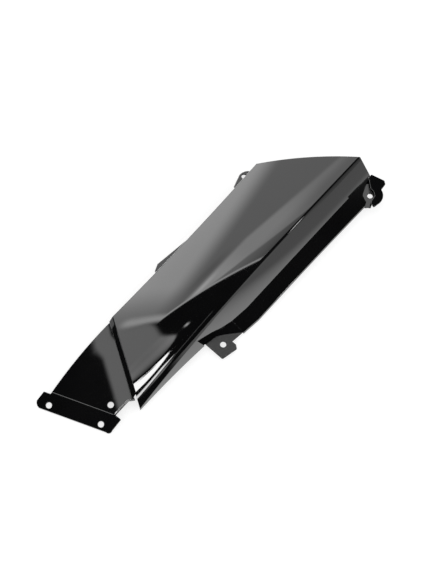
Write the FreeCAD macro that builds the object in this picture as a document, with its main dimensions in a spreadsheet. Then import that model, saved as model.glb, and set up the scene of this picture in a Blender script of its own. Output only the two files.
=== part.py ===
# Moulded trim panel for a motorbike, in millimetres, with +X along its length and +Z up.
# The panel lies face up, as it rests on a bench: the crowned face with its sharp side crease,
# the overlap strip along the near side, the stepped tongue and end flange at the low end.
import FreeCAD, Part
import math
import os
import Sketcher

# Driving sizes: lengths in millimetres, angles in degrees.
# X runs from the flange end to the bracket end, Y from the strip side to the hidden side.
SIZES = {
    "wall": 2.5,
    # Reach of a cutting outline past the panel
    "far": 400.0,
    # Face: where its first and last sections are drawn
    "tip_x": -150.0,
    "end_x": 215.0,
    # Hidden side edge: height at the bracket end, fall to the tip, waist and bow in plan
    "left_high": 35.0,
    "left_fall": 20.0,
    "left_waist": 53.8,
    "left_waist_share": 0.575,
    "left_bow": 23.0,
    # Hidden side wall: its lower edge, the least height it keeps, and the share over which it fades
    "left_foot": 1.5,
    "left_least": 1.0,
    "left_fade": 0.4,
    "left_round": 1.6,
    # Crease between face and side wall: place in plan, height, and how fast both change
    "crease_y": -23.6,
    "crease_sweep": 6.2,
    "crease_high": 40.0,
    "crease_fall": 34.0,
    "crease_power": 2.4,
    # Lean of the crown where it runs into the shoulder
    "crown_tilt": 12.0,
    # Shoulder radius, and what it gains towards the tip
    "shoulder": 3.2,
    "shoulder_growth": 25.0,
    # Side wall: slope, what it gains towards the tip, height, and the share over which it fades
    "side_slope": 51.0,
    "side_steepening": 18.0,
    "side_drop": 21.5,
    "side_end": 1.074,
    "side_fade": 0.506,
    # Hollow below the face reaches this far past the lower edges
    "hollow_reach": 12.0,
    # Arched cut at the bracket end
    "end_left_x": 131.45,
    "end_left_y": 55.65,
    "end_right_x": 209.75,
    "end_right_y": -24.25,
    "end_bulge": 0.7,
    # Sloping step down to the tongue
    "step_x": -128.7,
    "step_skew": 30.4,
    "step_run": 4.8,
    "step_drop": 5.0,
    "tip_side_y": -19.5,
    # Tongue: height, where it starts under the face, how much it bows, its two sides
    "tongue_z": 14.4,
    "tongue_root": -60.0,
    "tongue_bow": 1.2,
    "tongue_left_y": 54.8,
    "tongue_right_y": -17.2,
    "tongue_side_bow": 600.0,
    "tongue_neck_x": -149.0,
    "tongue_neck_y": -21.5,
    # Fold between tongue and end flange
    "fold_x": -175.2,
    "fold_z": 10.3,
    "fold_skew": 21.9,
    "fold_left_y": 48.1,
    "fold_right_y": -17.0,
    # End flange
    "flange_run": 19.8,
    "flange_slope": 22.0,
    "flange_left_y": 54.9,
    "flange_right_y": -24.0,
    "flange_set": 2.2,
    "flange_left_round": 6.5,
    "flange_right_round": 4.0,
    # Overlap strip along the side wall
    "strip_start": -14.0,
    "strip_run": 16.6,
    "strip_flare": 2.2,
    "strip_flare_end": 0.45,
    "strip_slope": 17.0,
    "strip_lip": 4.0,
    # Lap of the strip's root in the side wall: inner corner, upper corner, lower corner
    "lap_in_y": 3.0,
    "lap_in_z": 1.0,
    "lap_up_y": 1.2,
    "lap_up_z": 0.75,
    "lap_low_y": 1.45,
    "lap_low_z": 2.2,
    # Notch in the side wall above the side tab
    "notch_left_x": -57.4,
    "notch_top_z": 20.0,
    "notch_low_x": -53.5,
    "notch_low_z": 10.0,
    "notch_mid_x": -38.2,
    "notch_mid_z": 15.7,
    "notch_right_x": -34.2,
    "notch_right_z": 13.5,
    "notch_end_x": -28.2,
    "notch_end_z": 10.6,
    "notch_from_y": -20.0,
    "notch_reach": 30.0,
    # Ramp from the strip's low end down to the side tab: top and fold at three places
    "ramp_turn_x": -28.0,
    "ramp_turn_y": -36.4,
    "ramp_turn_z": 12.3,
    "ramp_turn_fold_y": -42.2,
    "ramp_mid_x": -36.0,
    "ramp_mid_y": -32.5,
    "ramp_mid_z": 15.5,
    "ramp_mid_fold_y": -36.3,
    "ramp_end_x": -56.5,
    "ramp_end_y": -28.2,
    "ramp_end_z": 20.0,
    "ramp_end_fold_y": -32.8,
    "ramp_end_fold_z": 8.0,
    # Side tab
    "tab_z": 5.0,
    "tab_left_x": -50.3,
    "tab_left_y": -57.2,
    "tab_out_x": -32.1,
    "tab_out_y": -61.1,
    "tab_right_x": -29.2,
    "tab_right_y": -57.3,
    "tab_neck_y": -52.0,
    "tab_end_x": -15.0,
    "tab_end_y": -53.6,
    "tab_lap": 1.5,
    "tab_round": 1.5,
    "tab_hole_x": -38.1,
    "tab_hole_y": -47.2,
    # Low tabs along the hidden side: the ear with its hole, then the rail
    "low_tab_z": 4.0,
    "low_tab_lap": 0.6,
    "ear_left_x": 104.9,
    "ear_left_y": 65.1,
    "ear_high_x": 119.5,
    "ear_high_y": 70.0,
    "ear_right_x": 131.0,
    "ear_right_y": 64.6,
    "ear_radius": 12.0,
    "ear_hole": 5.5,
    "ear_hole_x": 121.8,
    "ear_hole_y": 65.2,
    "rail_right_x": 28.0,
    "rail_right_y": 60.6,
    "rail_left_x": -18.0,
    "rail_left_y": 65.4,
    "rail_end_x": -26.0,
    "rail_end_y": 61.9,
    # End of the strip above the bracket
    "strip_root_x": 208.6,
    "strip_root_y": -41.3,
    "strip_bend_x": 194.4,
    "strip_bend_y": -44.8,
    "strip_turn_x": 188.4,
    "strip_turn_y": -47.0,
    "strip_edge_x": 184.6,
    "strip_edge_y": -56.6,
    "strip_rim_x": 177.5,
    "strip_rim_y": -59.2,
    # Web that joins the strip's end to the pad
    "web_sink": 0.4,
    "web_lean": 1.75,
    "web_lap": 0.8,
    # Bracket pad below the strip
    "pad_z": 11.0,
    "pad_hole": 6.0,
    "pad_hole_x": 193.6,
    "pad_hole_y": -54.6,
    "pad_low_x": 181.3,
    "pad_low_y": -61.4,
    "pad_rim_x": 178.5,
    "pad_rim_y": -58.9,
    "pad_root_x": 204.75,
    "pad_root_y": -41.0,
    # Open side of the recess over the pad
    "recess_in_x": 180.4,
    "recess_in_y": -41.0,
    "recess_rim_x": 173.5,
    "recess_rim_y": -57.0,
    "recess_root_x": 204.5,
    "recess_root_y": -36.3,
    # Wall around the pad: its inner line from the tail to the root
    "cup_tail_x": 184.2,
    "cup_tail_y": -62.0,
    "cup_low_x": 187.0,
    "cup_low_y": -60.4,
    "cup_bend_x": 194.2,
    "cup_bend_y": -59.3,
    "cup_side_x": 197.4,
    "cup_side_y": -55.0,
    "cup_turn_x": 197.6,
    "cup_turn_y": -51.0,
    "cup_root_x": 206.0,
    "cup_root_y": -41.3,
    # Hook plate on top of that wall
    "hook_z": 18.0,
    "hook_lap": 0.5,
    "hook_tail_x": 181.8,
    "hook_tail_y": -67.2,
    "hook_low_x": 189.5,
    "hook_low_y": -68.6,
    "hook_side_x": 204.6,
    "hook_side_y": -60.3,
    "hook_radius": 12.5,
    "hook_ear_low_x": 212.6,
    "hook_ear_low_y": -59.6,
    "hook_ear_x": 215.2,
    "hook_ear_y": -56.0,
    "hook_root_x": 211.5,
    "hook_root_y": -41.0,
    # Holes for the fixing screws
    "fixing_hole": 6.5,
    "flange_hole_run": 13.8,
    "flange_hole_y": 42.2,
    "flange_hole_spacing": 57.5,
    "flange_hole_depth": 12.0,
    "tongue_hole_x": -164.0,
    "tongue_hole_y": -6.0,
}

# Number of spans between the sections of the face and of the strip
FACE_SPANS = 6
STRIP_SPANS = 4

# How near an edge lies to a place that picks it out, and how far an upright edge may lean
PICK_REACH = 0.5
UPRIGHT_REACH = 0.05
LEAN_REACH = 0.01

# Outward direction at each place of the wall around the pad
CUP_LEAN = {
    "tail": (-0.4, -0.9),
    "low": (-0.3, -1.0),
    "bend": (0.5, -0.9),
    "side": (1.0, -0.2),
    "turn": (1.0, -0.3),
    "root": (0.7, -0.6),
}


def fill_sheet(doc):
    sheet = doc.addObject("Spreadsheet::Sheet", "Sizes")
    for row, (name, number) in enumerate(SIZES.items(), start=1):
        sheet.set(f"A{row}", name)
        sheet.set(f"B{row}", str(number))
        sheet.setAlias(f"B{row}", name)
    doc.recompute()
    return sheet


DOC = FreeCAD.newDocument("trim_panel")
SHEET = fill_sheet(DOC)


def value(expression):
    """Number that an expression on the sheet stands for."""
    return float(FreeCAD.Units.Quantity(SHEET.evalExpression(expression)))


def size(name):
    return f"Sizes.{name}"


def at(name):
    """Place in plan held on the sheet as name_x and name_y."""
    return (size(f"{name}_x"), size(f"{name}_y"))


def numbers(point):
    return FreeCAD.Vector(value(point[0]), value(point[1]), 0)


def plane_of(body, role):
    for feature in body.Origin.OriginFeatures:
        if feature.Role == role:
            return feature
    raise ValueError(role)


def sketch_on(body, name, role, offset="0"):
    """Sketch on a plane of the body's origin, moved along the plane's normal."""
    sketch = body.newObject("Sketcher::SketchObject", name)
    sketch.AttachmentSupport = [(plane_of(body, role), "")]
    sketch.MapMode = "FlatFace"
    sketch.setExpression("AttachmentOffset.Base.z", offset)
    DOC.recompute()
    return sketch


def hold(sketch, kind, places, number):
    """Add a dimension whose number follows an expression."""
    index = sketch.addConstraint(Sketcher.Constraint(kind, *places, value(number)))
    sketch.setExpression(f"Constraints[{index}]", number)


def pin(sketch, curve, end, point):
    """Hold one end of a curve at a point given by two expressions."""
    hold(sketch, "DistanceX", (curve, end), point[0])
    hold(sketch, "DistanceY", (curve, end), point[1])


def arc_between(start, end, radius, bulge):
    """Arc from start to end, bulging as told, and which of its ends is the start."""
    chord = end - start
    half = chord.Length / 2
    across = FreeCAD.Vector(-chord.y, chord.x, 0).normalize()
    if across.dot(bulge) < 0:
        across = across.negative()
    centre = (start + end) * 0.5 - across * math.sqrt(radius * radius - half * half)
    circle = Part.Circle(centre, FreeCAD.Vector(0, 0, 1), radius)
    first = math.atan2(start.y - centre.y, start.x - centre.x)
    last = math.atan2(end.y - centre.y, end.x - centre.x)
    if (start - centre).cross(end - centre).z > 0:
        return Part.ArcOfCircle(circle, first, last), 1
    return Part.ArcOfCircle(circle, last, first), 2


def outline(sketch, points, arcs=None):
    """Closed outline through points; arcs maps a side's number to its radius and bulge."""
    arcs = arcs or {}
    places = [numbers(point) for point in points]
    curves = []
    for side, start in enumerate(places):
        end = places[(side + 1) % len(places)]
        if side in arcs:
            radius, bulge = arcs[side]
            shape, at_start = arc_between(start, end, value(radius), FreeCAD.Vector(*bulge, 0))
            curve = sketch.addGeometry(shape)
            hold(sketch, "Radius", (curve,), radius)
        else:
            at_start = 1
            curve = sketch.addGeometry(Part.LineSegment(start, end))
        curves.append((curve, at_start))
    for side, (curve, at_start) in enumerate(curves):
        following, next_start = curves[(side + 1) % len(curves)]
        sketch.addConstraint(
            Sketcher.Constraint("Coincident", curve, 3 - at_start, following, next_start))
        pin(sketch, curve, at_start, points[side])


def bow_radius(chord, rise):
    """Radius of an arc with a given chord and rise."""
    return f"((({chord}) / 2)^2 + ({rise})^2) / (2 * ({rise}))"


def loft(body, name, sketches, ruled=False):
    feature = body.newObject("PartDesign::AdditiveLoft", name)
    feature.Profile = sketches[0]
    feature.Sections = sketches[1:]
    feature.Ruled = ruled
    DOC.recompute()
    return feature


def pad(body, name, points, low, high, arcs=None):
    """Straight block between two heights."""
    sketch = sketch_on(body, f"{name}_outline", "XY_Plane", low)
    outline(sketch, points, arcs)
    feature = body.newObject("PartDesign::Pad", name)
    feature.Profile = sketch
    feature.setExpression("Length", f"({high}) - ({low})")
    DOC.recompute()
    return feature


def plate(body, name, points, top, arcs=None):
    """Flat plate of the wall's thickness with its upper face at a height."""
    return pad(body, name, points, f"{top} - {size('wall')}", top, arcs)


def pocket(body, name, sketch, depth=None, reverse=False):
    """Cut along the sketch's normal: right through both ways, or to a depth on one side."""
    before = body.Tip.Shape.Volume
    feature = body.newObject("PartDesign::Pocket", name)
    feature.Profile = sketch
    if depth is None:
        feature.Type = "ThroughAll"
        feature.SideType = "Symmetric"
    else:
        feature.setExpression("Length", depth)
        feature.Reversed = reverse
    DOC.recompute()
    if not feature.Shape.Volume < before:
        raise RuntimeError(f"{name} cuts nothing")
    return feature


def top_edges(body, places):
    """Names of the highest edges above the given places in plan."""
    reach = FreeCAD.Vector(0, 0, value(size("far")))
    names = []
    for place in places:
        foot = numbers(place)
        upright = Part.makeLine(foot - reach, foot + reach)
        found = []
        for number, edge in enumerate(body.Tip.Shape.Edges, start=1):
            distance, points, _ = edge.distToShape(upright)
            if distance < PICK_REACH:
                found.append((points[0][0].z, f"Edge{number}"))
        names.append(max(found)[1])
    return sorted(set(names))


def upright_edges(body, places):
    """Names of the upright edges that stand at the given places in plan."""
    names = []
    for number, edge in enumerate(body.Tip.Shape.Edges, start=1):
        ends = [vertex.Point for vertex in edge.Vertexes]
        if len(ends) != 2 or math.hypot(ends[0].x - ends[1].x, ends[0].y - ends[1].y) > LEAN_REACH:
            continue
        near = [math.hypot(ends[0].x - place.x, ends[0].y - place.y) for place in map(numbers, places)]
        if min(near) < UPRIGHT_REACH:
            names.append(f"Edge{number}")
    if len(names) < len(places):
        raise RuntimeError("an upright edge is missing")
    return names


def dress(body, kind, name, edges, **amounts):
    """Fillet or chamfer on named edges of the body as it stands."""
    base = body.Tip
    feature = body.newObject(kind, name)
    feature.Base = (base, edges)
    for measure, amount in amounts.items():
        feature.setExpression(measure, amount)
    DOC.recompute()
    return feature


def join(body, name, kind, tool):
    feature = body.newObject("PartDesign::Boolean", name)
    feature.Type = kind
    feature.setObjects([tool])
    DOC.recompute()
    return feature


# Face: every section follows from its share of the length, 0 at the bracket end and 1 at the tip


def station(share):
    return f"({size('end_x')} + ({size('tip_x')} - {size('end_x')}) * {share})"


def share_at(x):
    return f"(({size('end_x')} - {x}) / ({size('end_x')} - {size('tip_x')}))"


def face_section(share, depth="0"):
    """Corner points of the face's section, set in by depth, with its slope and radius."""
    slope = f"({size('side_slope')} + {size('side_steepening')} * {share}^3)"
    tilt = size("crown_tilt")
    radius = f"({size('shoulder')} + {size('shoulder_growth')} * {share}^3 - {depth})"
    left_y = f"({size('left_waist')} + {size('left_bow')} * ({share} - {size('left_waist_share')})^2 - {depth})"
    left_top = f"({size('left_high')} - {size('left_fall')} * {share}^2)"
    crease_y = f"({size('crease_y')} - {size('crease_sweep')} * {share}^3 + {depth} * sin({slope}))"
    crease_z = (f"({size('crease_high')} - {size('crease_fall')} * {share}^{size('crease_power')}"
                f" - {depth} * cos({slope}))")
    start_y = f"({crease_y} + {radius} * (sin({slope}) - sin({tilt})))"
    start_z = f"({crease_z} + {radius} * (cos({tilt}) - cos({slope})))"
    drop = f"({size('side_drop')} * min(1; ({size('side_end')} - {share}) / {size('side_fade')}))"
    least = size("left_least")
    left_drop = (f"({least} + ({left_top} - {size('left_foot')} - {least})"
                 f" * min(1; (1 - {share}) / {size('left_fade')}))")
    return {
        "slope": slope,
        "radius": radius,
        "left_top": (left_y, f"({left_top} - {depth})"),
        "left_foot": (left_y, f"({left_top} - {left_drop})"),
        "start": (start_y, start_z),
        "crease": (crease_y, crease_z),
        "foot": (f"({crease_y} - {drop} / tan({slope}))", f"({crease_z} - {drop})"),
    }


def crown_arc(left, start, tilt):
    """Arc of the crown from the hidden edge to the shoulder, where its normal leans by tilt."""
    chord = left - start
    lean = math.atan2(chord.y, chord.x)
    radius = chord.Length / (2 * math.sin(math.radians(tilt) - lean))
    angle = math.radians(90 + tilt)
    centre = start - FreeCAD.Vector(math.cos(angle), math.sin(angle), 0) * radius
    first = math.atan2(left.y - centre.y, left.x - centre.x)
    return Part.ArcOfCircle(Part.Circle(centre, FreeCAD.Vector(0, 0, 1), radius), first, angle)


def draw_face(body, name, share, hollow):
    """One section of the face: solid to the outer skin, or the hollow under it."""
    part = face_section(share, size("wall") if hollow else "0")
    reach = size("hollow_reach") if hollow else "0"
    left_foot = (part["left_foot"][0], f"({part['left_foot'][1]} - {reach})")
    foot = (f"({part['foot'][0]} - {reach} / tan({part['slope']}))", f"({part['foot'][1]} - {reach})")
    sketch = sketch_on(body, name, "YZ_Plane", station(share))
    left = numbers(part["left_top"])
    start = numbers(part["start"])
    crease = numbers(part["crease"])
    tilt = value(size("crown_tilt"))
    radius = value(part["radius"])
    lean = math.radians(90 + value(part["slope"]))
    centre = crease - FreeCAD.Vector(math.cos(lean), math.sin(lean), 0) * radius
    circle = Part.Circle(centre, FreeCAD.Vector(0, 0, 1), radius)
    sketch.addGeometry(Part.LineSegment(numbers(left_foot), left))
    sketch.addGeometry(crown_arc(left, start, tilt))
    sketch.addGeometry(Part.ArcOfCircle(circle, math.radians(90 + tilt), lean))
    sketch.addGeometry(Part.LineSegment(crease, numbers(foot)))
    sketch.addGeometry(Part.LineSegment(numbers(foot), numbers(left_foot)))
    for first, second in ((0, 1), (2, 3), (3, 4), (4, 0)):
        sketch.addConstraint(Sketcher.Constraint("Coincident", first, 2, second, 1))
    sketch.addConstraint(Sketcher.Constraint("Tangent", 1, 2, 2, 1))
    pin(sketch, 0, 1, left_foot)
    pin(sketch, 0, 2, part["left_top"])
    pin(sketch, 2, 1, part["start"])
    pin(sketch, 2, 2, part["crease"])
    pin(sketch, 3, 2, foot)
    hold(sketch, "Radius", (2,), part["radius"])
    return sketch


def face_loft(body, name, hollow):
    sketches = []
    for number in range(FACE_SPANS + 1):
        share = f"({number} / {FACE_SPANS})"
        sketches.append(draw_face(body, f"{name}_section_{number}", share, hollow))
    return loft(body, name, sketches)


# Strip: its section hangs from the foot of the side wall


def strip_section(share):
    """Corner points of the strip's section: along the top, down the rim and back underneath."""
    y, z = face_section(share)["foot"]
    wall = size("wall")
    slope = size("strip_slope")
    flare = f"max(0; 1 - {share} / {size('strip_flare_end')})"
    run = f"({size('strip_run')} + {size('strip_flare')} * {flare}^2)"
    rim_y = f"({y} - {run})"
    rim_z = f"({z} - {run} * tan({slope}))"
    lip_z = f"{rim_z} - {size('strip_lip')}"
    return [
        (f"{y} + {size('lap_in_y')}", f"{z} + {size('lap_in_z')}"),
        (f"{y} + {size('lap_up_y')}", f"{z} + {size('lap_up_z')}"),
        (rim_y, rim_z),
        (rim_y, lip_z),
        (f"{rim_y} + {wall}", lip_z),
        (f"{rim_y} + {wall}", f"{rim_z} + {wall} * tan({slope}) - {wall} / cos({slope})"),
        (f"{y} + {size('lap_low_y')}", f"{z} - {size('lap_low_z')}"),
    ]


def build_strip(body):
    low_end = share_at(size("strip_start"))
    sketches = []
    for number in range(STRIP_SPANS + 1):
        share = f"({low_end} * {number} / {STRIP_SPANS})"
        sketch = sketch_on(body, f"strip_section_{number}", "YZ_Plane", station(share))
        outline(sketch, strip_section(share))
        sketches.append(sketch)
    return loft(body, "strip", sketches)


def strip_end_line():
    """Edge where the strip ends above the bracket, from the side wall to the rim."""
    middle = f"({size('strip_turn_y')} + {size('strip_edge_y')}) / 2"
    return [at("strip_root"), at("strip_bend"), at("strip_turn"), (size("strip_edge_x"), middle),
            at("strip_edge"), at("strip_rim")]


def trim_strip_end(body):
    far = size("far")
    sketch = sketch_on(body, "strip_end_outline", "XY_Plane")
    outline(sketch, strip_end_line() + [
        (size("strip_rim_x"), f"0 - {far}"), (far, f"0 - {far}"), (far, size("strip_root_y"))])
    return pocket(body, "strip_end", sketch)


# Step: the face ends on a skewed line and slopes down to the tongue


def step_line(y, out="0"):
    """X on the step line at a Y, moved out towards the tongue."""
    return f"({size('step_x')} + ({y}) * tan({size('step_skew')}) - ({out}) / cos({size('step_skew')}))"


def step_outline(body, name, out):
    """Everything beyond the step line once that is moved out by a distance."""
    far = size("far")
    sketch = sketch_on(body, name, "XY_Plane")
    outline(sketch, [
        (step_line(far, out), far),
        (f"0 - 2 * {far}", far),
        (f"0 - 2 * {far}", f"0 - {far}"),
        (step_line(f"0 - {far}", out), f"0 - {far}"),
    ])
    return sketch


def slope_step(body, name, out):
    """Slope the step's upper edge down towards the tongue."""
    heights = (f"({size('tongue_left_y')} / 2)", size("tip_side_y"))
    places = [(step_line(y, out), y) for y in heights]
    return dress(body, "PartDesign::Chamfer", name, top_edges(body, places),
                 Size=size("step_run"), Size2=size("step_drop"))


def build_form():
    form = DOC.addObject("PartDesign::Body", "panel")
    face_loft(form, "face", False)
    build_strip(form)
    end = sketch_on(form, "end_line", "XY_Plane")
    far = size("far")
    left = at("end_left")
    right = at("end_right")
    chord = f"sqrt(({left[0]} - {right[0]})^2 + ({left[1]} - {right[1]})^2)"
    outline(end, [
        left, right, (right[0], f"0 - {far}"), (f"2 * {far}", f"0 - {far}"), (f"2 * {far}", far),
        (left[0], far),
    ], arcs={0: (bow_radius(chord, size("end_bulge")), (1, 1))})
    pocket(form, "end_cut", end)
    pocket(form, "step_cut", step_outline(form, "step_edge", size("step_run")))
    return form


def build_hollow():
    hollow = DOC.addObject("PartDesign::Body", "hollow")
    face_loft(hollow, "under_face", True)
    inside = f"({size('step_run')} - {size('wall')})"
    pocket(hollow, "riser_side", step_outline(hollow, "riser_line", inside))
    return hollow


def trim_tip(body):
    """End the side wall square on the step line, without the slope."""
    far = size("far")
    side = size("tip_side_y")
    sketch = sketch_on(body, "tip_line", "XY_Plane")
    outline(sketch, [
        (step_line(side), side),
        (f"0 - 2 * {far}", side),
        (f"0 - 2 * {far}", f"0 - {far}"),
        (step_line(f"0 - {far}"), f"0 - {far}"),
    ])
    return pocket(body, "tip_cut", sketch)


# Tongue and end flange: one bent sheet drawn from the side and drawn out along the skewed fold


def along_fold(y):
    """Shift along X of the fold's direction at a distance from the middle plane."""
    return f"({y}) * tan({size('fold_skew')})"


def fold_line(y, out="0"):
    return f"{size('fold_x')} - {out} - {along_fold(y)}"


def build_tongue():
    tongue = DOC.addObject("PartDesign::Body", "tongue")
    wall = size("wall")
    far = size("far")
    slope = size("flange_slope")
    sketch = sketch_on(tongue, "tongue_profile", "XZ_Plane")
    fold = (size("fold_x"), size("fold_z"))
    root = (size("tongue_root"), size("tongue_z"))
    end = (f"{fold[0]} - {size('flange_run')}", f"{fold[1]} - {size('flange_run')} * tan({slope})")
    under_end = (f"{end[0]} + {wall} * sin({slope})", f"{end[1]} - {wall} * cos({slope})")
    under_fold = (f"{fold[0]} + {wall} * tan({slope} / 2)", f"{fold[1]} - {wall}")
    under_root = (root[0], f"{root[1]} - {wall}")
    chord = f"sqrt(({root[0]} - {fold[0]})^2 + ({root[1]} - {fold[1]})^2)"
    radius = bow_radius(chord, size("tongue_bow"))
    outline(sketch, [root, fold, end, under_end, under_fold, under_root],
            arcs={0: (radius, (0, 1)), 4: (f"{radius} - {wall}", (0, 1))})
    feature = tongue.newObject("PartDesign::Pad", "tongue_sheet")
    feature.Profile = sketch
    feature.UseCustomVector = True
    feature.Direction = FreeCAD.Vector(0, -1, 0)
    feature.setExpression("Direction.x", f"tan({size('fold_skew')})")
    feature.SideType = "Symmetric"
    feature.setExpression("Length", far)
    DOC.recompute()
    trim = sketch_on(tongue, "tongue_outline", "XY_Plane")
    tucked = f"{size('step_run')} / 2"
    left = size("tongue_left_y")
    neck = size("tongue_neck_y")
    run = size("flange_run")
    high = size("flange_left_y")
    low = size("flange_right_y")
    high_round = size("flange_left_round")
    low_round = size("flange_right_round")
    outline(trim, [
        (step_line(left, tucked), left),
        (fold_line(size("fold_left_y")), size("fold_left_y")),
        (fold_line(size("fold_left_y"), size("flange_set")), size("fold_left_y")),
        (fold_line(high, size("flange_set")), high),
        (fold_line(high, f"({run} - {high_round})"), high),
        (fold_line(f"({high} - {high_round})", run), f"{high} - {high_round}"),
        (f"0 - {far}", f"{high} - {high_round}"),
        (f"0 - {far}", f"{low} + {low_round}"),
        (fold_line(f"({low} + {low_round})", run), f"{low} + {low_round}"),
        (fold_line(low, f"({run} - {low_round})"), low),
        (fold_line(low, size("flange_set")), low),
        (fold_line(size("fold_right_y")), size("fold_right_y")),
        (size("tongue_neck_x"), size("tongue_right_y")),
        (step_line(neck, tucked), neck),
    ], arcs={0: (size("tongue_side_bow"), (-1, 1)), 4: (high_round, (-1, 1)), 8: (low_round, (-1, -1))})
    outline(trim, [(f"0 - 2 * {far}", far), (far, far), (far, f"0 - {far}"), (f"0 - 2 * {far}", f"0 - {far}")])
    pocket(tongue, "tongue_trim", trim)
    return tongue


# Notch, ramp and side tab


def build_notch(body):
    sketch = sketch_on(body, "notch_outline", "XZ_Plane", f"0 - {size('notch_from_y')}")
    low = f"0 - {size('hollow_reach')}"
    outline(sketch, [
        (size("notch_left_x"), size("notch_top_z")),
        (size("notch_low_x"), size("notch_low_z")),
        (size("notch_low_x"), low),
        (size("notch_end_x"), low),
        (size("notch_end_x"), size("notch_end_z")),
        (size("notch_right_x"), size("notch_right_z")),
        (size("notch_mid_x"), size("notch_mid_z")),
    ])
    return pocket(body, "notch", sketch, size("notch_reach"), reverse=True)


def ramp_section(body, name, x, top, fold):
    wall = size("wall")
    sketch = sketch_on(body, name, "YZ_Plane", x)
    outline(sketch, [
        top,
        fold,
        (f"{fold[0]} + {wall}", f"{fold[1]} - {wall}"),
        (f"{top[0]} + {wall}", f"{top[1]} - {wall}"),
    ])
    return sketch


def build_ramp(body):
    strip = strip_section(share_at(size("strip_start")))
    sketches = [ramp_section(body, "ramp_start", size("strip_start"), strip[1], strip[2])]
    for place, fold_z in (("turn", "tab_z"), ("mid", "tab_z"), ("end", "ramp_end_fold_z")):
        top = (size(f"ramp_{place}_y"), size(f"ramp_{place}_z"))
        fold = (size(f"ramp_{place}_fold_y"), size(fold_z))
        sketches.append(ramp_section(body, f"ramp_{place}", size(f"ramp_{place}_x"), top, fold))
    return loft(body, "ramp", sketches, ruled=True)


def build_side_tab(body):
    lap = size("tab_lap")
    neck = (size("tab_right_x"), size("tab_neck_y"))
    corners = [at("tab_left"), at("tab_out"), at("tab_right")]
    plate(body, "side_tab", [
        (size("tab_left_x"), f"{size('ramp_end_fold_y')} + {lap}"),
    ] + corners + [
        neck,
        at("tab_end"),
        (size("tab_end_x"), f"{size('tab_end_y')} + {lap}"),
        (size("ramp_turn_x"), f"{size('ramp_turn_fold_y')} + {lap}"),
        (size("ramp_mid_x"), f"{size('ramp_mid_fold_y')} + {lap}"),
    ], size("tab_z"))
    dress(body, "PartDesign::Fillet", "tab_corners", upright_edges(body, corners),
          Radius=size("tab_round"))


# Low tabs along the hidden side


def build_low_tabs(body):
    inside = f"{size('left_waist')} - {size('low_tab_lap')}"
    plate(body, "ear", [
        (size("ear_left_x"), inside),
        at("ear_left"),
        at("ear_high"),
        at("ear_right"),
        (size("ear_right_x"), inside),
    ], size("low_tab_z"), arcs={2: (size("ear_radius"), (1, 1))})
    plate(body, "rail", [
        (size("rail_end_x"), inside),
        at("rail_end"),
        at("rail_left"),
        at("rail_right"),
        (size("rail_right_x"), inside),
    ], size("low_tab_z"))


# Bracket: pad, wall round it and hook plate on that wall


def cup_line(out):
    """Line of the wall around the pad, moved outwards."""
    line = []
    for name, (x_part, y_part) in CUP_LEAN.items():
        x, y = at(f"cup_{name}")
        line.append((f"{x} + {x_part} * ({out})", f"{y} + {y_part} * ({out})"))
    return line


def build_bracket():
    bracket = DOC.addObject("PartDesign::Body", "bracket")
    wall = size("wall")
    base = f"({size('pad_z')} - {wall})"
    top = size("hook_z")
    tucked = (f"{size('strip_turn_x')} - {wall} / 2", f"{size('strip_turn_y')} - {wall} / 2")
    pad(bracket, "pad", [
        tucked,
        (f"{size('strip_edge_x')} - {wall} / 2", size("strip_edge_y")),
        at("pad_rim"),
        at("pad_low"),
    ] + cup_line(wall) + [at("pad_root")], base, top)
    lap = size("hook_lap")
    plate(bracket, "hook", [
        at("hook_tail"),
        at("hook_low"),
        at("hook_side"),
        at("hook_ear_low"),
        at("hook_ear"),
        at("hook_root"),
        (size("strip_root_x"), f"{size('strip_root_y')} + {lap}"),
    ] + list(reversed(cup_line(lap))), top, arcs={1: (size("hook_radius"), (1, -1))})
    recess = sketch_on(bracket, "recess_outline", "XY_Plane", top)
    outline(recess, [
        at("recess_in"),
        at("recess_rim"),
        (size("recess_rim_x"), size("cup_tail_y")),
    ] + cup_line("0") + [at("recess_root")])
    pocket(bracket, "recess", recess, f"{top} - {size('pad_z')}")
    return bracket


def build_end_web():
    """Wall that joins the strip's turned-down end to the pad."""
    web = DOC.addObject("PartDesign::Body", "end_web")
    wall = size("wall")
    edge = strip_end_line()[:5]
    shift = size("web_lean")
    back = [(edge[0][0], f"{edge[0][1]} + {size('web_lap')}")]
    back += [(f"{x} - {shift}", f"{y} + {shift}") for x, y in edge[1:4]]
    back += [(f"{edge[4][0]} - {wall}", edge[4][1])]
    pad(web, "web", edge + list(reversed(back)), f"({size('pad_z')} - {wall})", size("hook_z"))
    top = sketch_on(web, "web_top", "YZ_Plane")
    level = f"({size('crease_high')} - {size('side_drop')} - {size('web_sink')})"
    root = size("strip_root_y")
    far = size("far")
    outline(top, [
        (root, level),
        (f"0 - {far}", f"{level} - ({root} + {far}) * tan({size('strip_slope')})"),
        (f"0 - {far}", far),
        ("0", far),
        ("0", level),
    ])
    pocket(web, "web_trim", top)
    return web


# Holes


def circle_on(sketch, centre, diameter):
    radius = value(diameter) / 2
    circle = sketch.addGeometry(Part.Circle(numbers(centre), FreeCAD.Vector(0, 0, 1), radius))
    pin(sketch, circle, 3, centre)
    hold(sketch, "Diameter", (circle,), diameter)


def upright_hole(body, name, diameter):
    sketch = sketch_on(body, f"{name}_circle", "XY_Plane")
    circle_on(sketch, at(name), diameter)
    return pocket(body, name, sketch)


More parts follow.
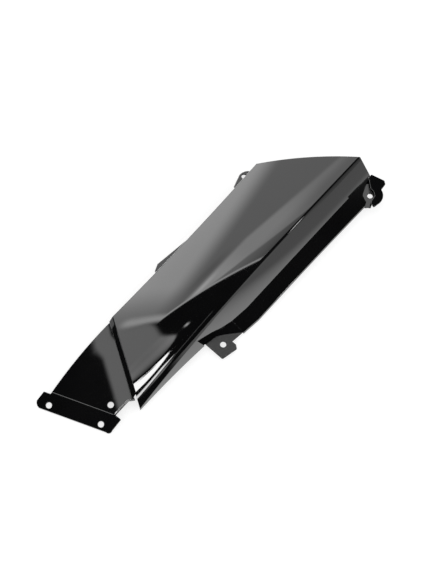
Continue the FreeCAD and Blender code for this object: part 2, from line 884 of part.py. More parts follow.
def flange_holes(body):
    """Two holes square to the sloping end flange, along its fold."""
    slope = size("flange_slope")
    skew = size("fold_skew")
    run = size("flange_hole_run")
    first_y = size("flange_hole_y")
    normal = FreeCAD.Vector(value(f"0 - sin({slope})"), value(f"0 - sin({slope}) * tan({skew})"),
                            value(f"cos({slope})"))
    along = FreeCAD.Vector(value(f"sin({skew})"), value(f"0 - cos({skew})"), 0)
    turned = FreeCAD.Rotation(along, FreeCAD.Vector(), normal, "ZXY")
    sketch = sketch_on(body, "flange_hole_circles", "XY_Plane")
    sketch.AttachmentOffset = FreeCAD.Placement(FreeCAD.Vector(), turned)
    sketch.setExpression("AttachmentOffset.Base.x", fold_line(first_y, run))
    sketch.setExpression("AttachmentOffset.Base.y", first_y)
    sketch.setExpression("AttachmentOffset.Base.z", f"{size('fold_z')} - {run} * tan({slope})")
    circle_on(sketch, ("0", "0"), size("fixing_hole"))
    circle_on(sketch, (size("flange_hole_spacing"), "0"), size("fixing_hole"))
    DOC.recompute()
    feature = body.newObject("PartDesign::Pocket", "flange_holes")
    feature.Profile = sketch
    feature.SideType = "Symmetric"
    feature.setExpression("Length", size("flange_hole_depth"))
    DOC.recompute()
    return feature


def check(doc, panel):
    for item in doc.Objects:
        if "Invalid" in item.State or "Error" in item.State:
            raise RuntimeError(f"{item.Label} failed: {item.State}")
    if panel.Shape.isNull() or not panel.Shape.isValid() or len(panel.Shape.Solids) != 1:
        raise RuntimeError("the panel is not one valid solid")


def build_panel():
    panel = build_form()
    slope_step(panel, "step_slope", size("step_run"))
    trim_tip(panel)
    trim_strip_end(panel)
    hollow = build_hollow()
    slope_step(hollow, "under_slope", f"({size('step_run')} - {size('wall')})")
    join(panel, "hollow_cut", "Cut", hollow)
    middle = "0.5"
    edge = top_edges(panel, [(station(middle), face_section(middle)["left_top"][0])])
    dress(panel, "PartDesign::Fillet", "left_edge", edge, Radius=size("left_round"))
    build_notch(panel)
    build_ramp(panel)
    build_side_tab(panel)
    build_low_tabs(panel)
    join(panel, "web_joint", "Fuse", build_end_web())
    join(panel, "bracket_joint", "Fuse", build_bracket())
    tongue = build_tongue()
    join(panel, "tongue_joint", "Fuse", tongue)
    flange_holes(panel)
    for name in ("tongue_hole", "tab_hole"):
        upright_hole(panel, name, size("fixing_hole"))
    upright_hole(panel, "ear_hole", size("ear_hole"))
    upright_hole(panel, "pad_hole", size("pad_hole"))
    return panel


panel = build_panel()
check(DOC, panel)
panel.Label = "trim_panel"
box = panel.Shape.optimalBoundingBox()
panel.Placement.Base = FreeCAD.Vector(-box.Center.x, -box.Center.y, -box.ZMin)
DOC.recompute()
check(DOC, panel)
os.makedirs("parts", exist_ok=True)
panel.Shape.exportStep("parts/trim_panel.step")
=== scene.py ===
import math
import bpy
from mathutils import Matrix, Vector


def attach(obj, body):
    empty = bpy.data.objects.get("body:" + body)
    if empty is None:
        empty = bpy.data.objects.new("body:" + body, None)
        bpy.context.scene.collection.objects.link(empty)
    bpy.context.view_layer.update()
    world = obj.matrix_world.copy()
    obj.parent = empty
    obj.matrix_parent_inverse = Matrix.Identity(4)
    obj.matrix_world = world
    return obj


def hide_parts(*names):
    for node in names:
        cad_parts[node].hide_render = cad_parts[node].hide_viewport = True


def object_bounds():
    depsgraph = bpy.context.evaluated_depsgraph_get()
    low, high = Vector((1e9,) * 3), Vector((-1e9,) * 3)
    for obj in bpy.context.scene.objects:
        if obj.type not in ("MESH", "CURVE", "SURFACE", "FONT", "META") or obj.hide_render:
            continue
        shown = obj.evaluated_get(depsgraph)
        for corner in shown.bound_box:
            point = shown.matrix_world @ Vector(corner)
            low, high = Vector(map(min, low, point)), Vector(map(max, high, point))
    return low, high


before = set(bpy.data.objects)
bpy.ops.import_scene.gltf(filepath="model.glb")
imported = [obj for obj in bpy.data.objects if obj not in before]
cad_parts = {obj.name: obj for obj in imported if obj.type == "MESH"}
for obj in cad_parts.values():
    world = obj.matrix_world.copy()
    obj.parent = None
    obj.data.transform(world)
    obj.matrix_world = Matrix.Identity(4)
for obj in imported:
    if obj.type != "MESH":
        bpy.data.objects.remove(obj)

from types import SimpleNamespace

import bpy
import numpy as np
from mathutils import Vector
from mathutils.geometry import delaunay_2d_cdt

cad_low, cad_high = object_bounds()

# Camera: angles in degrees, distance and aim in metres, focal length and picture height in pixels
BEARING = -48.0
HEIGHT = 70.0
DISTANCE = 1.165
AIM = Vector((-0.00036, -0.000536, 0.020018))
FOCAL = 1110.0
FRAME_HEIGHT = 571.0
SENSOR = 36.0

# Shape of the panel in millimetres and degrees, as in the part's source
S = SimpleNamespace(
    wall=2.5,
    tip_x=-150.0, end_x=215.0,
    left_high=35.0, left_fall=20.0, left_waist=53.8, left_waist_share=0.575, left_bow=23.0,
    left_foot=1.5, left_least=1.0, left_fade=0.4, left_round=1.6,
    crease_y=-23.6, crease_sweep=6.2, crease_high=40.0, crease_fall=34.0, crease_power=2.4,
    inner_round=0.4, crown_tilt=12.0, shoulder=3.2, shoulder_growth=25.0,
    side_slope=51.0, side_steepening=18.0, side_drop=21.5, side_end=1.074, side_fade=0.506,
    end_left=(131.45, 55.65), end_right=(209.75, -24.25), end_bulge=0.7,
    step_x=-128.7, step_skew=30.4, step_run=4.8, step_drop=5.0, step_round=0.8, step_foot_round=0.5,
    step_foot_z=12.0, step_foot_least=1.5, tip_side_y=-19.5,
    tongue_z=14.4, tongue_root=-60.0, tongue_bow=1.2, tongue_left_y=54.8, tongue_right_y=-17.2,
    tongue_side_bow=600.0, tongue_neck=(-149.0, -21.5),
    fold_x=-175.2, fold_z=10.3, fold_skew=21.9, fold_soft=1.0, fold_left_y=48.1, fold_right_y=-17.0,
    flange_run=19.8, flange_slope=22.0, flange_left_y=54.9, flange_right_y=-24.0, flange_set=2.2,
    flange_left_round=6.5, flange_right_round=4.0,
    strip_start=-14.0, strip_run=16.6, strip_flare=2.2, strip_flare_end=0.45, strip_slope=17.0,
    strip_lip=4.0, strip_round=1.2, strip_inner_round=0.3, strip_edge=0.1,
    lap_up_y=1.2, lap_up_z=0.75, lap_low_y=1.45, lap_low_z=2.2,
    notch=[(-57.4, 20.0), (-38.2, 15.7), (-34.2, 13.5), (-28.2, 10.6)], notch_low=(-53.5, 10.0),
    notch_lean_reach=14.0, cut_fade=0.12,
    ramp=[(-28.0, -36.4, 12.3, -42.2, 5.0), (-36.0, -32.5, 15.5, -36.3, 5.0),
          (-56.5, -28.2, 20.0, -32.8, 8.0)], ramp_wall=2.3,
    tab_z=5.0, tab_lap=1.5, tab_left=(-50.3, -57.2), tab_out=(-32.1, -61.1), tab_right=(-29.2, -57.3),
    tab_neck_y=-52.0, tab_end=(-15.0, -53.6), tab_round=1.5, tab_hole=(-38.1, -47.2),
    low_tab_z=4.0, low_tab_lap=0.6, ear_left=(104.9, 65.1), ear_high=(119.5, 70.0),
    ear_right=(131.0, 64.6), ear_radius=12.0,
    ear_hole=(121.8, 65.2), ear_hole_d=5.5,
    rail=[(28.0, 60.6), (-18.0, 65.4), (-26.0, 61.9)],
    strip_end=[(208.6, -41.3), (194.4, -44.8), (188.4, -47.0), (184.6, -51.8), (184.6, -56.6),
               (177.5, -59.2)],
    pad_z=11.0, pad_hole=(193.6, -54.6), pad_hole_d=6.0, pad_low=(181.3, -61.4),
    pad_rim=(178.5, -58.9), pad_root=(204.75, -41.0),
    web_lean=1.75, web_lap=0.8, web_sink=0.4, web_edge=0.3,
    cup=[(184.2, -62.0), (187.0, -60.4), (194.2, -59.3), (197.4, -55.0), (197.6, -51.0),
         (206.0, -41.3)],
    cup_lean=[(-0.4, -0.9), (-0.3, -1.0), (0.5, -0.9), (1.0, -0.2), (1.0, -0.3), (0.7, -0.6)],
    cup_sink=0.3, cup_lap=0.1, cup_edge=0.3,
    hook_z=18.0, hook_lap=0.5, hook_tail_round=1.2, hook_ear_round=1.5,
    hook=[(181.8, -67.2), (189.5, -68.6), (204.6, -60.3), (212.6, -59.6), (215.2, -56.0),
          (211.5, -41.0)], hook_radius=12.5,
    fixing_hole=6.5, tongue_hole=(-164.0, -6.0),
    flange_hole_run=13.8, flange_hole_y=42.2, flange_hole_spacing=57.5,
)
# Where the solid's box puts the drawing's origin, and the radius of the edges, in millimetres
SHIFT = np.array([0.360487, 0.535719, -0.017679])
EDGE = 0.45
UP = np.array([0.0, 0.0, 1.0])
GLOSS, SATIN = 0, 1

# Shading directions where a reflection shows a turn that is too fine for the mesh:
# X, Y and Z parts of a direction, turns added to a direction, and places in millimetres
LEAN = SimpleNamespace(
    rim=0.7,
    side_turn=-0.048,
    held_slope=50.0, held_soft=0.001, held_reach=1.0, tip_reach=0.5, tip_from=0.45, tip_over=0.25,
    step_rise=0.22,
    strip_lip=(0.0, -0.9, 0.43),
    hook=(0.05, -0.38, 1.0),
    # Tongue: X part of the mirrored direction, how it falls away from the step, and its rise to the left
    mirror=0.034, near_fall=0.0019, near_run=24.0, far_fall=0.001,
    left_rise=0.010, left_y=33.0, left_run=11.0,
    # How the view turns along X, and how much a lean turns its mirrored direction
    view_x=296.0, view_run=1150.0, gain=1.92,
    edge=(-0.60, 0.80), edge_mirror=0.012, edge_gain=1.83, edge_reach=2.2, edge_soft=0.2,
)

# Spacing of the mesh: columns along the face, their least gap beside the notch's corners, as a share,
# and lines across each part of its section
FACE_COLUMNS = 201
COLUMN_GAP = 0.002
HIDDEN_LINES, CORNER_LINES, CROWN_LINES, SHOULDER_LINES, SIDE_LINES = 4, 8, 45, 49, 13
STRIP_COLUMNS = 90
RAMP_COLUMNS, RAMP_LINES = 33, 9
TONGUE_STEPS = (*range(-16, -3, 4), -2, -1, -0.66, -0.33, 0, 0.33, 0.66, 1, 2, *range(4, 61, 4), 68, 76, 84)
TONGUE_ROWS = np.arange(-22, 56, 3.0)
EDGE_STEPS, EDGE_ROWS = np.arange(-167.2, -142.7, 1.5), (0.9, 1.5, 2.0, 2.2)

# Shares of the rounded foot and edge of the sloping step
FOOT_SHARES = (0.0, 0.5, 1.0)
EDGE_SHARES = (0.0, 0.2, 0.4, 0.6, 0.8, 1.0)

# First guesses of the share at which a line of the face meets the step, its foot and the bracket end
NEAR_STEP, NEAR_FOOT, NEAR_END = 0.95, 0.97, 0.1

# How close two places are one, how small a face is left out, and how far inner points stay off an edge
SAME_PLACE = 0.02
LEAST_AREA = 1e-7
CLEARANCE = 0.5


def make_camera():
    back = Vector((sin(BEARING) * cos(HEIGHT), -cos(BEARING) * cos(HEIGHT), sin(HEIGHT)))
    data = bpy.data.cameras.new("camera")
    data.sensor_fit = "VERTICAL"
    data.sensor_height = data.sensor_width = SENSOR
    data.lens = FOCAL / FRAME_HEIGHT * SENSOR
    data.clip_start, data.clip_end = 0.01, 20.0
    camera = bpy.data.objects.new("camera", data)
    bpy.context.scene.collection.objects.link(camera)
    camera.location = AIM + back * DISTANCE
    camera.rotation_mode = "QUATERNION"
    camera.rotation_quaternion = (-back).to_track_quat("-Z", "Y")
    bpy.context.scene.camera = camera


def sin(degrees):
    return np.sin(np.radians(degrees))


def cos(degrees):
    return np.cos(np.radians(degrees))


def tan(degrees):
    return np.tan(np.radians(degrees))


def unit(v):
    v = np.asarray(v, float)
    return v / np.maximum(np.linalg.norm(v, axis=-1, keepdims=True), 1e-12)


class Skin:
    """Faces of the moulding, each corner with its own shading direction."""

    def __init__(self):
        self.places, self.leans, self.faces, self.finishes, self.known = [], [], [], [], {}

    def corner(self, place, lean):
        """Number of the corner at a place with a shading direction."""
        key = tuple(np.round(place, 3)) + tuple(np.round(lean, 1))
        if key not in self.known:
            self.known[key] = len(self.places)
            self.places.append(place)
            self.leans.append(lean)
        return self.known[key]

    def face(self, corners, finish=GLOSS):
        """Add one face, turned to the side that its shading directions look to."""
        kept = [c for k, c in enumerate(corners) if c != corners[k - 1]]
        if len(set(kept)) < 3:
            return
        a, b, c, d = (self.places[k] for k in (*kept, kept[0])[:4])
        across = np.cross(c - a, d - b)
        if np.linalg.norm(across) < LEAST_AREA:
            return
        if across @ sum(self.leans[k] for k in kept) < 0:
            kept = kept[::-1]
        self.faces.append(kept)
        self.finishes.append(finish)

    def grid(self, places, leans, finish):
        """Add the faces between rows and columns of places."""
        index = [[self.corner(place, lean) for place, lean in zip(*row)] for row in zip(places, leans)]
        for row, above in zip(index, index[1:]):
            for k in range(len(row) - 1):
                self.face([row[k], row[k + 1], above[k + 1], above[k]], finish)

    def rim(self, places, leans, inner, inner_leans, radius, heights=None, steps=3):
        """Rounded gloss edge round a closed loop; returns the loops that the two skins reach to.

        Given the heights of the two skins over the plan, the edge is an upright one.
        """
        turns = [math.radians(90 * step / steps) for step in range(steps + 1)]
        # Cosines: the sharpest mitre, and the turn up to which a corner stays soft
        sharpest, straight = 0.35, 0.9
        pairs = zip(places, places[1:] + places[:1], leans, leans[1:] + leans[:1])
        outs = [unit(np.cross(q - p, UP if heights else lean + turn)) for p, q, lean, turn in pairs]
        base, inner_base, rings = [], [], []
        for k in range(len(places)):
            before, after = outs[k - 1], outs[k]
            middle = unit(before + after)
            mitre = middle / max(sharpest, middle @ after) * radius
            base.append(places[k] - mitre)
            inner_base.append(inner[k] - mitre)
            sinks = (leans[k], inner_leans[k])
            if heights:
                base[-1][2] = heights[0](*base[-1][:2])
                inner_base[-1][2] = heights[1](*inner_base[-1][:2])
                sinks = (UP, -UP)
            for out in ((before, after) if before @ after < straight else (middle,)):
                halves = []
                for start, sink, lean, share in ((base[-1], sinks[0], leans[k], LEAN.rim),
                                                 (inner_base[-1], sinks[1], inner_leans[k], 1.0)):
                    spots = [start + out * math.sin(turn) * radius - sink * (1 - math.cos(turn)) * radius
                             for turn in turns]
                    tips = [out * math.sin(turn * share) + lean * math.cos(turn * share) for turn in turns]
                    halves.append((spots, tips))
                (spots, tips), (low_spots, low_tips) = halves
                low_tips[-1] = tips[-1]
                ring = zip(spots + low_spots[::-1], tips + low_tips[::-1])
                rings.append([self.corner(place, unit(lean)) for place, lean in ring])
        for ring, following in zip(rings, rings[1:] + rings[:1]):
            for step in range(len(ring) - 1):
                self.face([ring[step], following[step], following[step + 1], ring[step + 1]])
        return base, inner_base

    def sheet(self, places, leans, inner, inner_leans, radius=EDGE, flip=False):
        """Gloss outer skin and satin inner skin, with a rounded edge all the way round them."""
        rows, columns = places.shape[:2]
        border = [(0, i) for i in range(columns)]
        border += [(j, columns - 1) for j in range(1, rows)]
        border += [(rows - 1, i) for i in range(columns - 2, -1, -1)]
        border += [(j, 0) for j in range(rows - 2, 0, -1)]
        if flip:
            border = border[::-1]
        loop = []
        for spot in border:
            if not loop or np.linalg.norm(places[spot] - places[loop[-1]]) > SAME_PLACE:
                loop.append(spot)
        if np.linalg.norm(places[loop[0]] - places[loop[-1]]) <= SAME_PLACE:
            loop.pop()
        got = self.rim([places[s] for s in loop], [leans[s] for s in loop],
                       [inner[s] for s in loop], [inner_leans[s] for s in loop], radius)
        moved = {tuple(np.round(places[s], 2)): (p, q) for s, p, q in zip(loop, *got)}
        places, inner = places.copy(), inner.copy()
        for spot in border:
            key = tuple(np.round(places[spot], 2))
            if key in moved:
                places[spot], inner[spot] = moved[key]
            else:
                near = min(range(len(loop)), key=lambda k: np.linalg.norm(places[spot] - got[0][k]))
                places[spot], inner[spot] = got[0][near], got[1][near]
        self.grid(places, leans, GLOSS)
        self.grid(inner, inner_leans, SATIN)

    def plate(self, outline, top, bottom, holes=(), points=(), radius=EDGE, shading=None, finish=GLOSS):
        """Sheet between two heights over the plan, with rounded edges and a satin underside."""
        sides = ((top, shading or (lambda x, y: lean_of(top, x, y)), finish),
                 (bottom, lambda x, y: -lean_of(bottom, x, y), SATIN))
        bases = []
        for loop in [turned(outline, True)] + [turned(hole, False) for hole in holes]:
            skins = []
            for height, lean, _ in sides:
                skins += [[np.array([x, y, height(x, y)]) for x, y in loop], [lean(x, y) for x, y in loop]]
            bases.append(self.rim(*skins, radius, (top, bottom)))
        for side, (height, lean, coat) in enumerate(sides):
            spots, faces = filled([[(p[0], p[1]) for p in base[side]] for base in bases], points)
            known = {(round(p[0], 3), round(p[1], 3)): p for base in bases for p in base[side]}
            index = []
            for x, y in spots:
                place = known.get((round(x, 3), round(y, 3)), np.array([x, y, height(x, y)]))
                index.append(self.corner(place, lean(x, y)))
            for face in faces:
                self.face([index[k] for k in face], coat)

    def build(self, name):
        """Mesh in metres, kept inside the solid's box, with its own shading directions."""
        mesh = bpy.data.meshes.new(name)
        places = np.clip((np.array(self.places) - SHIFT) * 0.001, cad_low, cad_high)
        mesh.from_pydata(places.tolist(), [], self.faces)
        mesh.polygons.foreach_set("use_smooth", [True] * len(mesh.polygons))
        mesh.polygons.foreach_set("material_index", self.finishes)
        mesh.normals_split_custom_set_from_vertices(unit(self.leans).tolist())
        piece = bpy.data.objects.new(name, mesh)
        bpy.context.scene.collection.objects.link(piece)
        return piece


def turned(loop, anticlockwise):
    """Outline in plan, run round the way asked for."""
    loop = [(float(x), float(y)) for x, y in loop]
    area = sum(a[0] * b[1] - b[0] * a[1] for a, b in zip(loop, loop[1:] + loop[:1]))
    return loop if (area > 0) == anticlockwise else loop[::-1]


def lean_of(height, x, y, step=0.02):
    """Upward direction square to a surface given as a height over the plan."""
    east = (height(x + step, y) - height(x - step, y)) / (2 * step)
    north = (height(x, y + step) - height(x, y - step)) / (2 * step)
    return unit([-east, -north, 1.0])


def inside(x, y, loops):
    """Whether a place lies within an outline and outside its holes."""
    hit = False
    for loop in loops:
        for (ax, ay), (bx, by) in zip(loop, loop[1:] + loop[:1]):
            if (ay > y) != (by > y) and x < ax + (bx - ax) * (y - ay) / (by - ay):
                hit = not hit
    return hit


def filled(loops, points):
    """Triangles of a flat outline with holes, through extra points."""
    spots = [p for loop in loops for p in loop]
    edges = []
    for loop in loops:
        start = len(edges)
        edges += [(start + k, start + (k + 1) % len(loop)) for k in range(len(loop))]
    ring = np.array(spots)
    for x, y in points:
        if inside(x, y, loops) and np.min(np.hypot(ring[:, 0] - x, ring[:, 1] - y)) > CLEARANCE:
            spots.append((x, y))
    found = delaunay_2d_cdt([Vector(p) for p in spots], edges, [], 0, 1e-5)
    places = [(p[0], p[1]) for p in found[0]]
    faces = []
    for face in found[2]:
        x, y = (sum(places[k][axis] for k in face) / len(face) for axis in (0, 1))
        if inside(x, y, loops):
            faces.append(face)
    return places, faces


def circle(centre, diameter, count=40):
    turns = [2 * math.pi * k / count for k in range(count)]
    return [(centre[0] + diameter / 2 * math.cos(turn), centre[1] + diameter / 2 * math.sin(turn))
            for turn in turns]


def arc(a, b, radius, bulge, count=10):
    """Points strictly between a and b on an arc that bulges as told."""
    a, b = np.array(a, float), np.array(b, float)
    chord = b - a
    across = unit([-chord[1], chord[0]])
    if across @ np.array(bulge, float) < 0:
        across = -across
    half = np.linalg.norm(chord) / 2
    centre = (a + b) / 2 - across * math.sqrt(max(radius * radius - half * half, 0))
    first, last = (math.atan2(*(p - centre)[::-1]) for p in (a, b))
    turn = (last - first + math.pi) % (2 * math.pi) - math.pi
    turns = [first + turn * k / count for k in range(1, count)]
    return [tuple(centre + radius * np.array([math.cos(t), math.sin(t)])) for t in turns]


def rounded(points, radii, count=6):
    """Outline with some corners rounded; radii maps a corner's number to its radius."""
    out = []
    for k, p in enumerate(points):
        if k not in radii:
            out.append(tuple(p))
            continue
        p = np.array(p, float)
        before = unit(np.array(points[k - 1], float) - p)
        after = unit(np.array(points[(k + 1) % len(points)], float) - p)
        half = math.acos(np.clip(before @ after, -1, 1)) / 2
        reach = radii[k] / math.tan(half)
        start, end = p + before * reach, p + after * reach
        out += [tuple(start)] + arc(start, end, radii[k], -(before + after), count) + [tuple(end)]
    return out


def x_at(share):
    """X at a share of the face's length, 0 at the bracket end and 1 at the tip."""
    return S.end_x + (S.tip_x - S.end_x) * share


def share_at(x):
    return (S.end_x - x) / (S.end_x - S.tip_x)


def section(share, depth=0.0):
    """Slopes, radii and corners of the face's section, at a depth under the outer skin."""
    q = SimpleNamespace()
    q.slope = S.side_slope + S.side_steepening * share ** 3
    q.radius = S.shoulder + S.shoulder_growth * share ** 3 - depth
    q.left_y = S.left_waist + S.left_bow * (share - S.left_waist_share) ** 2 - depth
    top = S.left_high - S.left_fall * share ** 2
    q.left_z = top - depth
    q.crease_y = S.crease_y - S.crease_sweep * share ** 3 + depth * sin(q.slope)
    crease = S.crease_high - S.crease_fall * share ** S.crease_power
    q.crease_z = crease - depth * cos(q.slope)
    q.start_y = q.crease_y + q.radius * (sin(q.slope) - sin(S.crown_tilt))
    q.start_z = q.crease_z + q.radius * (cos(S.crown_tilt) - cos(q.slope))
    q.foot_z = crease - S.side_drop * np.minimum(1, (S.side_end - share) / S.side_fade)
    least = S.left_least
    q.left_foot = top - least - (top - S.left_foot - least) * np.minimum(1, (1 - share) / S.left_fade)
    chord_y, chord_z = q.left_y - q.start_y, q.left_z - q.start_z
    lean = np.degrees(np.arctan2(chord_z, chord_y))
    q.crown = np.hypot(chord_y, chord_z) / (2 * sin(S.crown_tilt - lean))
    q.crown_last = 90 + S.crown_tilt
    q.crown_first = 90 + 2 * lean - S.crown_tilt
    q.centre_y = q.start_y - q.crown * cos(q.crown_last)
    q.centre_z = q.start_z - q.crown * sin(q.crown_last)
    return q


def spot(kind, share, t, depth=0.0):
    """Place across the section of one line along the face."""
    q = section(share, depth)
    small = S.left_round if depth == 0 else S.inner_round
    reach = small * tan(q.crown_first / 2)
    if kind == "hidden":
        return q.left_y, q.left_foot + (q.left_z - reach - q.left_foot) * t
    if kind == "corner":
        turn = q.crown_first * t
        return q.left_y - small * (1 - cos(turn)), q.left_z - reach + small * sin(turn)
    if kind == "crown":
        skip = np.degrees(reach / q.crown)
        turn = q.crown_first + skip + (q.crown_last - q.crown_first - skip) * t
        return q.centre_y + q.crown * cos(turn), q.centre_z + q.crown * sin(turn)
    if kind == "shoulder":
        turn = 90 + S.crown_tilt + (q.slope - S.crown_tilt) * t
        y = q.crease_y - q.radius * cos(90 + q.slope)
        z = q.crease_z - q.radius * sin(90 + q.slope)
        return y + q.radius * cos(turn), z + q.radius * sin(turn)
    return q.crease_y - t * cos(q.slope), q.crease_z - t * sin(q.slope)


def line(kind, share, t, depth=0.0):
    """Places and shading directions along one line of the face."""
    step = 1e-4

    def place(s, p):
        y, z = spot(kind, s, p, depth)
        return np.stack(np.broadcast_arrays(x_at(s), y, z), -1)

    here = place(share, t)
    along = place(share + step, t) - place(share - step, t)
    across = place(share, t + step) - place(share, t - step)
    lean = unit(np.cross(along, across))
    outward = {"hidden": (0, 1, 0), "corner": (0, 1, 1), "crown": (0, 0, 1), "shoulder": (0, -0.5, 1),
               "side": (0, -1, 1)}[kind]
    lean = lean * np.sign(lean @ np.array(outward, float))[..., None]
    return here, lean if depth == 0 else -lean


def end_at(y):
    """X of the arched cut at the bracket end."""
    a, b = np.array(S.end_left), np.array(S.end_right)
    chord = b - a
    half = np.linalg.norm(chord) / 2
    radius = (half * half + S.end_bulge ** 2) / (2 * S.end_bulge)
    centre = (a + b) / 2 - unit([-chord[1], chord[0]]) * (radius - S.end_bulge)
    x = centre[0] + np.sqrt(radius ** 2 - (y - centre[1]) ** 2)
    return np.where(y > a[1], a[0], np.where(y < b[1], b[0], x))


def step_at(y, out=0.0):
    return S.step_x + y * tan(S.step_skew) - out / cos(S.step_skew)


def meet(kind, t, edge, depth, share):
    """Share at which one line of the face meets an edge given as X over Y, from a first guess."""
    for _ in range(12):
        share = share_at(edge(spot(kind, share, t, depth)[0]))
    return float(share)


def face_shares(kind, t, columns, depth):
    """Shares of one line's places, from the step at the tip to the bracket end."""
    low = meet(kind, t, step_at, depth, NEAR_STEP)
    high = meet(kind, t, end_at, depth, NEAR_END)
    return low + (high - low) * columns


def bowed(lean, amount):
    """Turn shading directions up the section, for the slight bow of the side wall."""
    up = np.cross(np.array([1.0, 0.0, 0.0]), lean)
    up = up * np.sign(up[..., 2:3])
    return unit(lean + up * amount)


def held_up(lean, amount):
    """Keep a share of the shading from turning steeper than the slope the reflections show."""
    held = np.array([0.0, -sin(LEAN.held_slope), cos(LEAN.held_slope)])
    steep = np.clip((held[2] - lean[..., 2]) / LEAN.held_soft, 0, 1) * amount
    return unit(lean + (held - lean) * steep[..., None])


def face_columns():
    """Shares of the columns from tip to bracket end, with one at each corner of the notch."""
    low = meet("shoulder", 1.0, step_at, 0, NEAR_STEP)
    high = meet("shoulder", 1.0, end_at, 0, NEAR_END)
    breaks = [(share_at(x) - low) / (high - low) for x, _ in S.notch]
    even = [s for s in np.linspace(0, 1, FACE_COLUMNS) if min(abs(s - b) for b in breaks) > COLUMN_GAP]
    columns = np.array(sorted(even + breaks + breaks[:1]))
    return columns, int(np.searchsorted(columns, breaks[0] - 1e-9))


def face_lines():
    """Lines along the face: part of the section, place across that part, and end at the tip."""
    low, high = 0.0, 1.0
    for _ in range(40):
        middle = (low + high) / 2
        share = meet("shoulder", middle, step_at, 0, NEAR_STEP)
        past = spot("shoulder", share, middle)[0] > S.tip_side_y
        low, high = (middle, high) if past else (low, middle)
    side_t = low
    lines = []
    for kind, count in (("hidden", HIDDEN_LINES), ("corner", CORNER_LINES), ("crown", CROWN_LINES)):
        lines += [(kind, t, "step") for t in np.linspace(0, 1, count)[:-1]]
    for t in np.linspace(0, 1, SHOULDER_LINES):
        if t > side_t and lines[-1][2] == "step":
            lines += [("shoulder", side_t, way) for way in ("step", "turn", "plain")]
        lines.append(("shoulder", t, "step" if t < side_t else "plain"))
    return lines + [("side", t, "plain") for t in np.linspace(0, 1, SIDE_LINES)[1:]]


def side_row(t, columns, cut, depth):
    """One line of the side wall, which ends below at the wall's foot or at the notch."""
    share = face_shares("shoulder", 1.0, columns, depth)
    q = section(share, depth)
    x = x_at(share)
    (left_x, left_z), (low_x, low_z) = S.notch[0], S.notch_low
    notch = np.interp(x, *zip(*S.notch), right=-np.inf)
    notched = (np.arange(len(columns)) > cut) & (x > left_x - 0.5)
    foot_z = section(share).foot_z
    bottom = np.where(notched, np.maximum(foot_z, notch), foot_z)
    z = q.crease_z + (bottom - q.crease_z) * t
    # Near the notch the columns lean with its left edge
    near = np.clip(1 - np.abs(x - left_x) / S.notch_lean_reach, 0, 1)
    pull = (low_x - left_x) / (left_z - low_z)
    x = x + near * pull * np.maximum(0, left_z - z)
    share = share_at(x)
    q = section(share, depth)
    down = (q.crease_z - z) / sin(q.slope)
    # Near the tip they follow the step's cut
    start = meet("side", 0.0, step_at, depth, NEAR_STEP)
    lower = meet("side", float(down[0]), step_at, depth, NEAR_STEP)
    share = share + (lower - start) * np.clip(1 - columns / S.cut_fade, 0, 1)
    here, lean = line("side", share, down, depth)
    lean = bowed(lean, LEAN.side_turn * t)
    if depth == 0:
        tip = np.clip((LEAN.tip_from - columns) / LEAN.tip_over, 0, 1)
        reach = LEAN.held_reach + LEAN.tip_reach * tip
        lean = held_up(lean, np.clip(reach - down + 0.5, 0, 1))
    return here, lean


def build_face(skin):
    """Face and side wall, cut by the sloping step at the tip and the arc at the bracket end."""
    columns, cut = face_columns()
    lines = face_lines()
    skins = []
    for depth in (0.0, S.wall):
        rows, leans, outs = [], [], []
        for kind, t, way in lines:
            if kind == "side":
                here, lean = side_row(t, columns, cut, depth)
            else:
                here, lean = line(kind, face_shares(kind, t, columns, depth), t, depth)
                if kind == "shoulder" and depth == 0:
                    lean = held_up(lean, np.ones(len(columns)))
            rows.append(here)
            leans.append(lean)
            # Upper edge of the step and foot of its slope
            upper = foot = here[0]
            if way != "plain":
                first = meet(kind, t, lambda y: step_at(y, -depth), depth, NEAR_STEP)
                second = meet(kind, t, lambda y: step_at(y, S.step_run - depth), depth, NEAR_FOOT)
                upper = line(kind, np.array(first), t, depth)[0]
                foot = line(kind, np.array(second), t, depth)[0] - np.array([0, 0, S.step_drop])
            outs.append((upper, foot))
        skins += with_step(np.array(rows), np.array(leans), outs, [way for *_, way in lines], depth)
    skin.sheet(*skins, flip=True)


def eased(corner, first, last, reach, share):
    """Place on the rounding of a corner, from one direction to the other."""
    return corner + first * reach * (1 - share) ** 2 + last * reach * share ** 2


